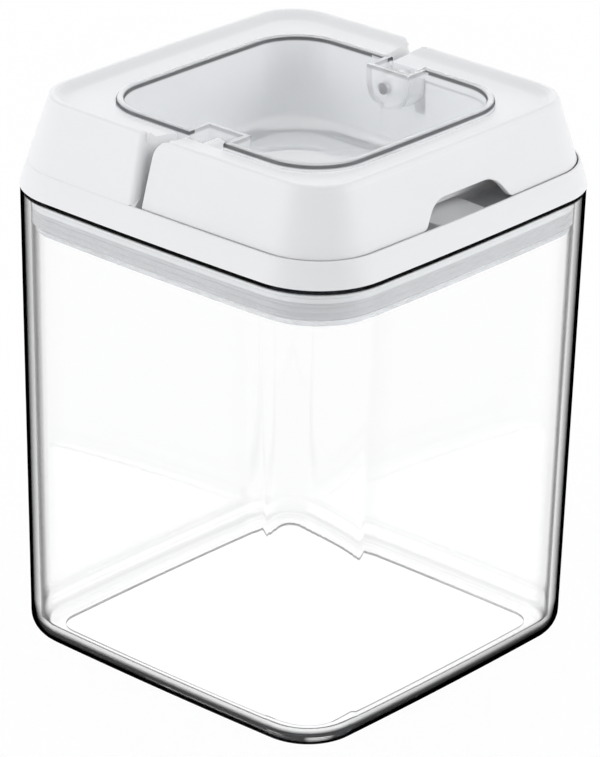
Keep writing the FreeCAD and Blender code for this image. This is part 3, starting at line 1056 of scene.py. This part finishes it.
@dataclass
class LidFrame:
    """White frame: the lid's rear half, the band under the lever, the deck, the skirt and the well."""

    shape: LidShape
    band_height: float = 6.25 * MM
    band_round: float = 0.2 * MM
    band_steps: int = 3
    trough_half: float = 51.742 * MM
    trough_depth: float = 4.4 * MM
    deck: float = 1.8 * MM
    skin: float = 1.8 * MM
    end_low: float = 6.5 * MM
    end_high: float = 7.85 * MM
    end_round: float = 2.0 * MM
    end_steps: int = 6
    plug_depth: float = 4.05 * MM
    plug_gap: float = 0.4 * MM
    plug_groove: float = 0.25 * MM
    groove_share: float = 0.7
    well_top: float = 136.9 * MM
    notch_floor: float = 128.6 * MM
    notch_front: float = -7.2 * MM
    rest_half: float = 8.3 * MM
    rest_front: float = -50.44 * MM
    rest_rear: float = -37.5 * MM
    rest_height: float = 2.95 * MM
    rest_round: float = 2.5 * MM
    rest_steps: int = 8
    rest_soft: float = 0.5 * MM
    rest_soft_steps: int = 4
    pad_near: float = 36.48 * MM
    pad_far: float = 40.78 * MM
    pad_front: float = -4.0 * MM
    pad_rear: float = 1.5 * MM
    pad_top: float = 130.54 * MM

    @property
    def rim(self) -> float:
        """Height of the jar's rim, where the frame starts."""
        return self.shape.jar.height

    @property
    def band_top(self) -> float:
        """Height of the band's upper edge."""
        return self.rim + self.band_height

    @property
    def deck_top(self) -> float:
        """Height of the deck under the lever."""
        return self.band_top - self.trough_depth

    @property
    def trough(self) -> Outline:
        """Outline of the trough behind the band's lip."""
        outer = self.shape.outline(self.band_top, 0)
        return outer.inset(outer.half - self.trough_half)

    def end_at(self, height: float) -> float:
        """Gives where the frame's ends stand."""
        share = max(0.0, height - self.band_top) / (self.shape.top - self.band_top)
        return self.end_low + (self.end_high - self.end_low) * share

    def rear_profile(self) -> list[Station]:
        """Gives the rails of the rear half.

        Returns:
            The rails' places.
        """
        run = [(self.shape.outline(self.band_top, 0), self.band_top)]
        run += self.shape.dish(0, 0)
        run.append((self.shape.well(self.shape.well_gap), self.deck_top))
        run.append((self.trough, self.deck_top))
        run.append((self.trough, self.band_top))
        return [Station(outline, height, self.end_at(height)) for outline, height in run]

    def round_ends(self, mesh: BMesh) -> None:
        """Rounds the outer edges of the two ends.

        Args:
            mesh: mesh of the rear half.
        """
        border = {edge for cap in end_caps(mesh) for edge in cap.edges}
        lip = self.shape.outline(self.shape.top, self.shape.lip).half
        upright = []
        for edge in border:
            near = min(abs(vert.co.x) for vert in edge.verts)
            low = min(vert.co.z for vert in edge.verts)
            if near > lip and low > self.band_top - TOUCH:
                upright.append(edge)
        soften(mesh, upright, self.end_round, self.end_steps)

    def ring_profile(self) -> list[Station]:
        """Gives the rails of the band, the deck and the skirt.

        Returns:
            The rails' places.
        """
        jar = self.shape.jar
        gap = jar.wall + self.plug_gap
        groove = self.rim - self.groove_share * self.plug_depth
        low = self.rim - self.plug_depth
        under = self.deck_top - self.deck
        run = [(self.shape.outline(self.rim, 0), self.rim)]
        for inward, down in quarter_round(self.band_round, self.band_steps, True):
            height = self.band_top - down
            run.append((self.shape.outline(height, inward), height))
        run += [
            (self.trough, self.band_top),
            (self.trough, self.deck_top),
            (self.shape.well(self.shape.well_gap), self.deck_top),
            (self.shape.well(self.shape.well_gap), under),
            (jar.outline(low, gap + self.skin), under),
            (jar.outline(low, gap + self.skin), low),
            (jar.outline(low, gap), low),
            (jar.outline(groove, gap), groove - self.plug_groove),
            (jar.outline(groove, gap + self.plug_groove), groove),
            (jar.outline(groove, gap), groove + self.plug_groove),
            (jar.outline(self.rim, gap), self.rim),
        ]
        return [Station(outline, height) for outline, height in run]

    def build(self, material: Material) -> Object:
        """Builds the frame.

        Args:
            material: its finish.

        Returns:
            The frame.
        """
        mesh = bmesh.new()
        Loft(mesh, Span.REAR).bar(self.rear_profile())
        self.round_ends(mesh)
        Loft(mesh, Span.ROUND).skin(self.ring_profile(), closed=True)
        self.add_well(mesh)
        self.add_rest(mesh)
        for side in Side:
            self.add_pad(mesh, side)
        return finished(mesh, "lid_frame_moulding", material)

    def add_well(self, mesh: BMesh) -> None:
        """Adds the front of the wall round the tub, lower at the hinges.

        Args:
            mesh: mesh that takes it.
        """
        inner = self.shape.well(self.shape.well_gap)
        outer = self.shape.well(self.shape.well_gap + self.skin)
        upper = (self.notch_floor, self.well_top, self.notch_front)
        lower = (self.deck_top, self.notch_floor, self.end_low)
        for low, top, end in (upper, lower):
            corners = ((inner, low), (inner, top), (outer, top), (outer, low))
            Loft(mesh, Span.FRONT).bar([Station(outline, height, end) for outline, height in corners])

    def add_rest(self, mesh: BMesh) -> None:
        """Adds the finger rest behind the recess.

        Args:
            mesh: mesh that takes it.
        """
        low = Vector((-self.rest_half, self.rest_front, self.deck_top))
        high = Vector((self.rest_half, self.rest_rear, self.deck_top + self.rest_height))
        verts = prism(mesh, low, high)
        edges = {edge for vert in verts for edge in vert.link_edges}
        upright = [
            edge for edge in edges
            if abs(edge.verts[0].co.z - edge.verts[1].co.z) > 0.5 * self.rest_height
            and edge.verts[0].co.y < (self.rest_front + self.rest_rear) / 2
        ]
        soften(mesh, upright, self.rest_round, self.rest_steps)
        rims = [
            edge for edge in mesh.edges
            if all(abs(vert.co.z - high.z) < TOUCH and abs(vert.co.x) < high.x + TOUCH for vert in edge.verts)
            and all(low.y - TOUCH <= vert.co.y < high.y - TOUCH for vert in edge.verts)
        ]
        soften(mesh, rims, self.rest_soft, self.rest_soft_steps)

    def add_pad(self, mesh: BMesh, side: Side) -> None:
        """Adds a pad that a cam presses on.

        Args:
            mesh: mesh that takes it.
            side: half of the lid that it stands on.
        """
        span = sorted((side.value * self.pad_near, side.value * self.pad_far))
        low = Vector((span[0], self.pad_front, self.deck_top))
        prism(mesh, low, Vector((span[1], self.pad_rear, self.pad_top)))


@dataclass
class Lever:
    """White U-shaped lever with its finger recess, hubs and cams."""

    shape: LidShape
    low: float = 125.35 * MM
    inset: float = 0.9 * MM
    sink: float = 0.5 * MM
    skin: float = 1.8 * MM
    underside: float = 137.4 * MM
    foot_round: float = 0.45 * MM
    foot_steps: int = 4
    tail: float = 5.0 * MM
    tail_round: float = 4.35 * MM
    tail_foot: float = 1.0 * MM
    tail_soft: float = 0.4 * MM
    tail_steps: int = 6
    tail_turn: float = math.radians(9)
    tail_soft_steps: int = 3
    tail_inward: float = 0.3 * MM
    tail_slack: float = 0.2 * MM
    grip_reach: float = 132.0 * MM
    grip_height: float = 5.75 * MM
    grip_foot: float = 15.2 * MM
    grip_flare: float = 4.5 * MM
    grip_round: float = 7.5 * MM
    grip_toe: float = 2.0 * MM
    front_steps: int = 160
    front_share: float = 0.9
    pivot: float = 135.6 * MM
    hub_near: float = 29.93 * MM
    hub_far: float = 46.47 * MM
    hub_radius: float = 2.8 * MM
    bore: float = 1.55 * MM
    cam_near: float = 36.93 * MM
    cam_far: float = 40.63 * MM
    cam_radius: float = 4.011 * MM
    cam_offset: float = 0.75 * MM
    scoop_half: float = 17.0 * MM
    scoop_back: float = -41.8 * MM
    scoop_low: float = 125.5 * MM
    scoop_wall: float = 1.4 * MM

    @property
    def top(self) -> float:
        """Height of the lever's lip."""
        return self.shape.top - self.sink

    def tail_at(self, height: float) -> float:
        """Gives where the tails end.

        Args:
            height: height on the tail.

        Returns:
            Y of the end.
        """
        over = max(0.0, height - (self.top - self.tail_round))
        under = max(0.0, self.low + self.tail_foot - height)
        upper = self.tail_round - math.sqrt(max(0.0, self.tail_round**2 - over**2))
        lower = self.tail_foot - math.sqrt(max(0.0, self.tail_foot**2 - under**2))
        return self.tail - upper - lower

    def recess(self, x: float) -> float:
        """Gives the height of the finger recess.

        Args:
            x: place along the front.

        Returns:
            Height above the lever's lower edge.
        """
        slope = math.atan2(self.grip_height, self.grip_flare)
        reach = abs(x)
        flat = self.grip_foot - self.grip_flare - self.grip_round * math.tan(slope / 2)
        toe = self.grip_foot + self.grip_toe * math.tan(slope / 2)
        if reach <= flat:
            return self.grip_height
        if reach >= toe:
            return 0.0
        if reach <= flat + self.grip_round * math.sin(slope):
            return self.grip_height - self.grip_round + math.sqrt(self.grip_round**2 - (reach - flat) ** 2)
        if reach >= toe - self.grip_toe * math.sin(slope):
            return self.grip_toe - math.sqrt(self.grip_toe**2 - (toe - reach) ** 2)
        return (self.grip_foot - reach) * math.tan(slope)

    def profile(self) -> list[Station]:
        """Gives the rails from the lower edge up the outside, over the lip and down the inside.

        Returns:
            The rails' places.
        """
        inner = self.inset + self.skin
        run = []
        for inward, rise in quarter_round(self.foot_round, self.foot_steps, False):
            height = self.low + rise
            run.append((self.shape.outline(height, self.inset + inward), height))
        run.append((self.shape.outline(self.grip_reach, self.inset), self.grip_reach))
        for step in range(self.tail_steps):
            height = self.top - self.tail_round * (1 - math.sin(step * self.tail_turn))
            run.append((self.shape.outline(height, self.inset), height))
        run += self.shape.dish(self.sink, self.inset)
        run.append((self.shape.well(self.shape.well_gap), self.underside))
        for height in (self.underside, self.grip_reach):
            run.append((self.shape.outline(height, inner), height))
        for inward, rise in quarter_round(self.foot_round, self.foot_steps, True):
            height = self.low + rise
            run.append((self.shape.outline(height, inner - inward), height))
        return [Station(outline, height, self.tail_at(height)) for outline, height in run]

    def cut_recess(self, mesh: BMesh) -> None:
        """Draws the lower edge up along the wall to make the finger recess.

        Args:
            mesh: mesh of the lever.
        """
        front = -self.front_share * self.shape.outline(self.low, 2 * self.skin + self.inset).half
        for vert in mesh.verts:
            if vert.co.y < front and vert.co.z < self.low + 2 * self.foot_round:
                rise = self.recess(vert.co.x)
                vert.co += Vector((0, rise * self.shape.draft, rise))

    def add_scoop(self, mesh: BMesh) -> None:
        """Adds the back and the roof of the pocket behind the finger recess.

        Args:
            mesh: mesh that takes them.
        """
        front = -self.shape.outline(self.grip_reach, self.inset + self.skin / 2).half
        back = self.scoop_back + self.scoop_wall
        for low, high in (
            ((self.scoop_back, self.scoop_low), (back, self.grip_reach)),
            ((front, self.grip_reach), (back, self.grip_reach + self.scoop_wall)),
        ):
            prism(mesh, Vector((-self.scoop_half, *low)), Vector((self.scoop_half, *high)))

    def soften_tails(self, mesh: BMesh) -> None:
        """Rounds the outer edges of the tails.

        Args:
            mesh: mesh of the lever.
        """
        lip = self.shape.outline(self.top, self.inset + self.shape.lip).half
        outer = [
            edge for cap in end_caps(mesh) for edge in cap.edges
            if min(abs(vert.co.x) for vert in edge.verts) > lip - self.tail_inward
            and min(vert.co.z for vert in edge.verts) > self.low + self.foot_round - TOUCH
            and max(self.shape.outline(vert.co.z, self.inset).half - abs(vert.co.x) for vert in edge.verts)
            < self.shape.lip + self.tail_slack
        ]
        soften(mesh, outer, self.tail_soft, self.tail_soft_steps)

    def add_hinge(self, mesh: BMesh, side: Side) -> None:
        """Adds a hub and its cam.

        Args:
            mesh: mesh that takes them.
            side: half of the lid that they belong to.
        """
        middle = Vector((0, 0, self.pivot))
        tube(mesh, middle, side.value * self.hub_near, side.value * self.hub_far, self.bore, self.hub_radius)
        turn = Matrix.Rotation(math.pi / 2, 4, "Y")
        near = Vector((side.value * self.cam_near, 0, self.pivot))
        shift = Vector((0, -self.cam_offset, -self.cam_offset))
        rims = []
        for radius, centre in ((self.bore, near), (self.cam_radius, near + shift + Vector((HAIR, 0, 0)))):
            known = set(mesh.edges)
            matrix = Matrix.Translation(centre) @ turn
            bmesh.ops.create_circle(mesh, segments=CIRCLE_STEPS, radius=radius, matrix=matrix)
            rims += [edge for edge in mesh.edges if edge not in known]
        faces = bmesh.ops.bridge_loops(mesh, edges=rims)["faces"]
        grown = bmesh.ops.extrude_face_region(mesh, geom=faces)["geom"]
        verts = [item for item in grown if isinstance(item, BMVert)]
        bmesh.ops.translate(mesh, vec=(side.value * (self.cam_far - self.cam_near), 0, 0), verts=verts)

    def build(self, material: Material) -> Object:
        """Builds the lever.

        Args:
            material: its finish.

        Returns:
            The lever.
        """
        mesh = bmesh.new()
        Loft(mesh, Span.FRONT, Grain(side=self.front_steps)).bar(self.profile())
        self.cut_recess(mesh)
        self.soften_tails(mesh)
        self.add_scoop(mesh)
        for side in Side:
            self.add_hinge(mesh, side)
        return finished(mesh, "lever_moulding", material)


@dataclass
class ClearTub:
    """Clear tub in the middle of the lid, with two hinge pockets and the flange below."""

    shape: LidShape
    top: float
    low: float
    wall: float = 2.0 * MM
    depth: float = 23.6 * MM
    floor: float = 2.2 * MM
    floor_round: float = 4.0 * MM
    floor_steps: int = 10
    rim_round: float = 0.7 * MM
    rim_steps: int = 5
    flange: float = 1.4 * MM
    flange_gap: float = 1.2 * MM
    support: float = 1.5 * MM
    boss_near: float = 28.03 * MM
    boss_wall: float = 1.2 * MM
    boss_front: float = -8.05 * MM
    boss_rear: float = 5.2 * MM
    boss_depth: float = 10.0 * MM
    boss_round: float = 5.5 * MM
    boss_steps: int = 10
    boss_sink: float = 0.1 * MM

    def profile(self) -> list[Station]:
        """Gives the rails from the middle of the underside over the rim to the floor.

        Returns:
            The rails' places.
        """
        jar = self.shape.jar
        seat = self.low + self.flange
        edge = jar.outline(seat, jar.wall + self.flange_gap)
        inside = self.top - self.depth
        under = inside - self.floor
        run = [
            (self.shape.well(-self.wall - self.support), under),
            (self.shape.well(-self.wall), under),
            (self.shape.well(-self.wall), self.low),
            (edge, self.low),
            (edge, seat),
            (self.shape.well(0), seat),
        ]
        for inward, down in quarter_round(self.rim_round, self.rim_steps, True):
            run.append((self.shape.well(-inward), self.top - down))
        for inward, down in quarter_round(self.rim_round, self.rim_steps, False):
            run.append((self.shape.well(inward - self.wall), self.top - down))
        for inward, rise in quarter_round(self.floor_round, self.floor_steps, True):
            run.append((self.shape.well(-self.wall - inward), inside + rise))
        run.append((self.shape.well(-self.wall - self.floor_round - self.support), inside))
        return [Station(outline, height) for outline, height in run]

    def block(self, side: Side, wall: float, far: float, top: float) -> Object:
        """Makes the solid of a hinge pocket's outside or inside.

        Args:
            side: half of the lid that it belongs to.
            wall: depth inside the pocket's outside.
            far: X of its outer end.
            top: height of its top.

        Returns:
            The solid.
        """
        mesh = bmesh.new()
        near = self.boss_near + wall
        low = Vector((min(side.value * near, side.value * far), self.boss_front + wall, 0))
        high = Vector((max(side.value * near, side.value * far), self.boss_rear - wall, top))
        low.z = self.top - self.boss_depth + wall
        prism(mesh, low, high)
        foot = [edge for edge in mesh.edges if all(abs(vert.co.z - low.z) < HAIR for vert in edge.verts)]
        lengthways = [edge for edge in foot if abs(edge.verts[0].co.y - edge.verts[1].co.y) < HAIR]
        soften(mesh, lengthways, self.boss_round - wall, self.boss_steps)
        bmesh.ops.recalc_face_normals(mesh, faces=mesh.faces[:])
        return as_object(mesh, "hinge block")

    def build(self, material: Material) -> Object:
        """Builds the tub.

        Args:
            material: its finish.

        Returns:
            The tub.
        """
        mesh = bmesh.new()
        Loft(mesh, Span.ROUND).vessel(self.profile())
        plain = finished(mesh, "plain tub", material)
        plain.modifiers.clear()
        half = self.shape.well(0).half
        steps = [("UNION", 0.0, half - self.wall / 2, self.top - self.boss_sink)]
        steps.append(("DIFFERENCE", self.boss_wall, half + self.wall, self.top + self.wall))
        blocks = []
        for operation, wall, far, top in steps:
            for side in Side:
                block = self.block(side, wall, far, top)
                blocks.append(block)
                cut = plain.modifiers.new(operation, "BOOLEAN")
                cut.operation = operation
                cut.solver = "EXACT"
                cut.object = block
        joined = bmesh.new()
        joined.from_object(plain, bpy.context.evaluated_depsgraph_get())
        bmesh.ops.remove_doubles(joined, verts=joined.verts[:], dist=2 * HAIR)
        for spare in (plain, *blocks):
            bpy.data.objects.remove(spare)
        return finished(joined, "clear_tub_moulding", material)


@dataclass
class Seal:
    """Ribbed silicone ring between the skirt and the flange."""

    jar: Jar
    low: float
    high: float
    gap: float = 0.35 * MM
    rib: float = 0.5 * MM
    width: float = 4.2 * MM
    ribs: int = 3
    steps: int = 36

    def build(self, material: Material) -> Object:
        """Builds the seal.

        Args:
            material: its finish.

        Returns:
            The seal.
        """
        base = self.jar.outline(self.low, self.jar.wall + self.gap)
        run = []
        for step in range(self.steps + 1):
            share = step / self.steps
            depth = self.rib * (0.5 + 0.5 * math.cos(2 * math.pi * self.ribs * share))
            run.append(Station(base.inset(depth), self.low + (self.high - self.low) * share))
        run.append(Station(base.inset(self.width), self.high))
        run.append(Station(base.inset(self.width), self.low))
        mesh = bmesh.new()
        Loft(mesh, Span.ROUND).skin(run, closed=True)
        return finished(mesh, "gasket_ring", material)


@dataclass(frozen=True)
class PhotoCamera:
    """Camera fitted to the photo.

    Args:
        azimuth: angle of the camera round the object, from -Y towards +X.
        elevation: angle of the camera above the horizon.
        roll: turn of the picture.
        distance: distance to the point that the camera looks at.
        aside: place of that point along the picture's width.
        height: height of that point.
        lens: focal length for a sensor whose long side is 36 mm.
    """

    azimuth: float = math.radians(-48.65)
    elevation: float = math.radians(23.81)
    roll: float = math.radians(1.17)
    distance: float = 1090.42 * MM
    aside: float = -0.03 * MM
    height: float = 67.88 * MM
    lens: float = 212.86

    def place(self) -> Object:
        """Adds the camera and makes it the scene's.

        Returns:
            The camera.
        """
        level = math.cos(self.elevation)
        back = Vector((
            math.sin(self.azimuth) * level, -math.cos(self.azimuth) * level, math.sin(self.elevation)
        ))
        right = Vector((math.cos(self.azimuth), math.sin(self.azimuth), 0))
        up = back.cross(right)
        x_axis = math.cos(self.roll) * right + math.sin(self.roll) * up
        y_axis = math.cos(self.roll) * up - math.sin(self.roll) * right
        where = self.aside * right + UP * self.height + back * self.distance
        data = bpy.data.cameras.new("camera")
        data.lens = self.lens
        data.sensor_width = 36
        camera = bpy.data.objects.new("camera", data)
        turn = Matrix((x_axis, y_axis, back)).transposed()
        camera.matrix_world = Matrix.Translation(where) @ turn.to_4x4()
        bpy.context.scene.collection.objects.link(camera)
        bpy.context.scene.camera = camera
        return camera


@dataclass(frozen=True)
class Softbox:
    """One soft lamp.

    Args:
        name: name of the lamp.
        place: where it hangs.
        size: width and height.
        power: power in watts.
    """

    name: str
    place: tuple[float, float, float]
    size: tuple[float, float]
    power: float

    def hang(self, target: Vector) -> None:
        """Adds the lamp, turned to a point.

        Args:
            target: the point.
        """
        data = bpy.data.lights.new(self.name, "AREA")
        data.shape = "RECTANGLE"
        data.size, data.size_y = self.size
        data.energy = self.power
        lamp = bpy.data.objects.new(self.name, data)
        where = Vector(self.place)
        turn = (target - where).to_track_quat("-Z", "Y")
        lamp.matrix_world = Matrix.Translation(where) @ turn.to_matrix().to_4x4()
        lamp.visible_camera = False
        bpy.context.scene.collection.objects.link(lamp)


@dataclass
class Studio:
    """Pale floor, soft lamps and the white room.

    Args:
        floor_size: half the width of the floor.
        floor_drop: how far the floor lies below the object.
        floor_glow: light that the floor gives to the eye.
        floor_share: share of the lamps' light that it adds, which shows the object's shadow.
        floor_colour: its colour for light that it throws on the object.
        front_light: strength of the room's light from the front.
        rear_light: strength of the room's light from the rear.
        rear_reach: how far to the front and the rear that strength changes.
        room_colour: colour of the room's light.
        dark_sky: brightness overhead, in reflections and through clear plastic.
        sky_low: height where the room starts to darken.
        sky_high: height where it is at its darkest.
        aim: height that the lamps are turned to.
        lamps: the lamps.
        bounces: bounces of any light, and through clear plastic.
        diffuse_bounces: bounces between matt surfaces.
        glossy_bounces: bounces between shiny surfaces.
    """

    floor_size: float = 6.0
    floor_drop: float = 0.3 * MM
    floor_glow: float = 0.84
    floor_share: float = 0.16
    floor_colour: Rgba = (0.8, 0.8, 0.8, 1)
    front_light: float = 0.52
    rear_light: float = 0.80
    rear_reach: float = 1.2
    room_colour: Rgba = (0.97, 0.98, 1.0, 1)
    dark_sky: float = 0.40
    sky_low: float = 0.22
    sky_high: float = 0.42
    aim: float = 90 * MM
    lamps: tuple[Softbox, ...] = (
        Softbox("left lamp", place=(-1.3, 0.75, 0.75), size=(1.0, 1.0), power=9.0),
        Softbox("right lamp", place=(0.75, -1.3, 0.75), size=(1.0, 1.0), power=9.0),
        Softbox("rear lamp", place=(1.1, 1.1, 1.0), size=(1.2, 1.2), power=5.0),
    )
    bounces: int = 24
    diffuse_bounces: int = 12
    glossy_bounces: int = 8

    def build(self) -> None:
        """Builds the studio."""
        self.lay_floor()
        self.paint_room()
        for lamp in self.lamps:
            lamp.hang(UP * self.aim)
        bpy.context.scene.view_settings.view_transform = "Standard"
        cycles = bpy.context.scene.cycles
        cycles.max_bounces = self.bounces
        cycles.diffuse_bounces = self.diffuse_bounces
        cycles.transmission_bounces = self.bounces
        cycles.transparent_max_bounces = self.bounces
        cycles.glossy_bounces = self.glossy_bounces

    def lay_floor(self) -> None:
        """Adds the floor, white to the eye with the object's shadow on it."""
        mesh = bmesh.new()
        bmesh.ops.create_grid(mesh, x_segments=1, y_segments=1, size=self.floor_size)
        material, sheet = new_sheet("studio floor")
        path = sheet.add("ShaderNodeLightPath")
        glow = sheet.add("ShaderNodeEmission", Color=(1, 1, 1, 1), Strength=self.floor_glow)
        lit = sheet.add("ShaderNodeBsdfDiffuse", Color=(self.floor_share,) * 3 + (1,))
        plain = sheet.add("ShaderNodeBsdfDiffuse", Color=self.floor_colour)
        seen = sheet.add("ShaderNodeAddShader")
        sheet.link(glow.outputs["Emission"], seen.inputs[0])
        sheet.link(lit.outputs["BSDF"], seen.inputs[1])
        scattered = sheet.spread(path.outputs["Diffuse Depth"], 0.0, 1.0)
        sheet.show(sheet.mix(scattered, seen.outputs["Shader"], plain.outputs["BSDF"]))
        floor = as_object(mesh, "floor")
        floor.data.materials.append(material)
        floor.location = (self.floor_size / 8, 0, -self.floor_drop)

    def paint_room(self) -> None:
        """Paints the world: white behind the object and darker overhead."""
        world = bpy.data.worlds.new("room")
        bpy.context.scene.world = world
        world.use_nodes = True
        sheet = NodeSheet(world.node_tree, "ShaderNodeOutputWorld")
        path = sheet.add("ShaderNodeLightPath")
        place = sheet.add("ShaderNodeTexCoord")
        way = sheet.split(place.outputs["Generated"])
        sky = sheet.ramp(way.outputs["Z"], ((self.sky_low, 1.0), (self.sky_high, self.dark_sky)))
        mirrored = sheet.add("ShaderNodeBackground")
        sheet.link(sky, mirrored.inputs["Color"])
        rearward = sheet.math("ADD", way.outputs["X"], way.outputs["Y"])
        level = sheet.spread(rearward, self.front_light, self.rear_light, -self.rear_reach, self.rear_reach)
        plain = sheet.add("ShaderNodeBackground", Color=self.room_colour)
        sheet.link(level, plain.inputs["Strength"])
        white = sheet.add("ShaderNodeBackground", Color=(1, 1, 1, 1))
        scattered = sheet.spread(path.outputs["Diffuse Depth"], 0.0, 1.0)
        room = sheet.mix(scattered, mirrored.outputs["Background"], plain.outputs["Background"])
        sheet.show(sheet.mix(path.outputs["Is Camera Ray"], room, white.outputs["Background"]))


def span_of(node: str) -> tuple[Vector, Vector]:
    """Gives the box of a CAD node."""
    low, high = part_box(node)
    return Vector(low), Vector(high)


def main(frame: dict) -> None:
    """Builds the container and the studio.
    """
    jar_high = span_of("jar")[1]
    seal_low, seal_high = span_of("gasket")
    tub_low, tub_high = span_of("clear_tub")
    white = WhiteMoulding().material()
    jar = Jar(half=jar_high.x, height=jar_high.z)
    shape = LidShape(jar=jar, top=span_of("lid_frame")[1].z)
    # The jar's clear plastic paints dark veils on its corners and foot and a dark line under its rim, in
    # place of reflected dark surroundings.
    jar_plastic_with_painted_shade = ClearPlastic(
        "clear jar", rim=jar.height, rim_width=1.5 * MM, rim_shade=0.99,
        corner=(28 * MM, 38 * MM), foot=(6 * MM, 11 * MM),
    )
    settle(jar.build(jar_plastic_with_painted_shade.material()), "jar", "jar")
    settle(LidFrame(shape).build(white), "lid_frame", "lid_frame")
    settle(Lever(shape).build(white), "lever", "lever")
    tub = ClearTub(shape, top=tub_high.z, low=tub_low.z)
    # The tub's clear plastic paints dark veils where its corners turn away and a dark line under its rim,
    # fainter on the hinge pockets.
    tub_plastic_with_painted_shade = ClearPlastic(
        "clear tub", rim=tub.top - tub.boss_sink, rim_width=1.2 * MM, rim_shade=0.8,
        corner=(18 * MM, 26 * MM), foot=(0.0, 1 * MM), haze=0.28,
        pocket=(shape.well(0).half - tub.wall, 9 * MM),
        turn_stops=((0.74, 0.0), (0.88, 0.08), (0.96, 0.3), (1.0, 0.6)),
    )
    settle(tub.build(tub_plastic_with_painted_shade.material()), "clear_tub", "clear_tub")
    ring = Seal(jar, low=seal_low.z, high=seal_high.z).build(FrostedSilicone().material())
    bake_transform(ring)
    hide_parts("gasket")
    LOG.info("%s stands for gasket and stretches between lid_frame and clear_tub", ring.name)
    steel = DrawnSteel().material()
    for name in ("hinge_pin_left", "hinge_pin_right"):
        pin = frame["nodes"][name]
        pin.data.materials.clear()
        pin.data.materials.append(steel)
        LOG.info("%s keeps its own solid in steel", name)
    Studio().build()
    PhotoCamera().place()


if __name__ == "__main__":
    logging.basicConfig(level=logging.INFO)
    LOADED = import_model()
    main(LOADED)
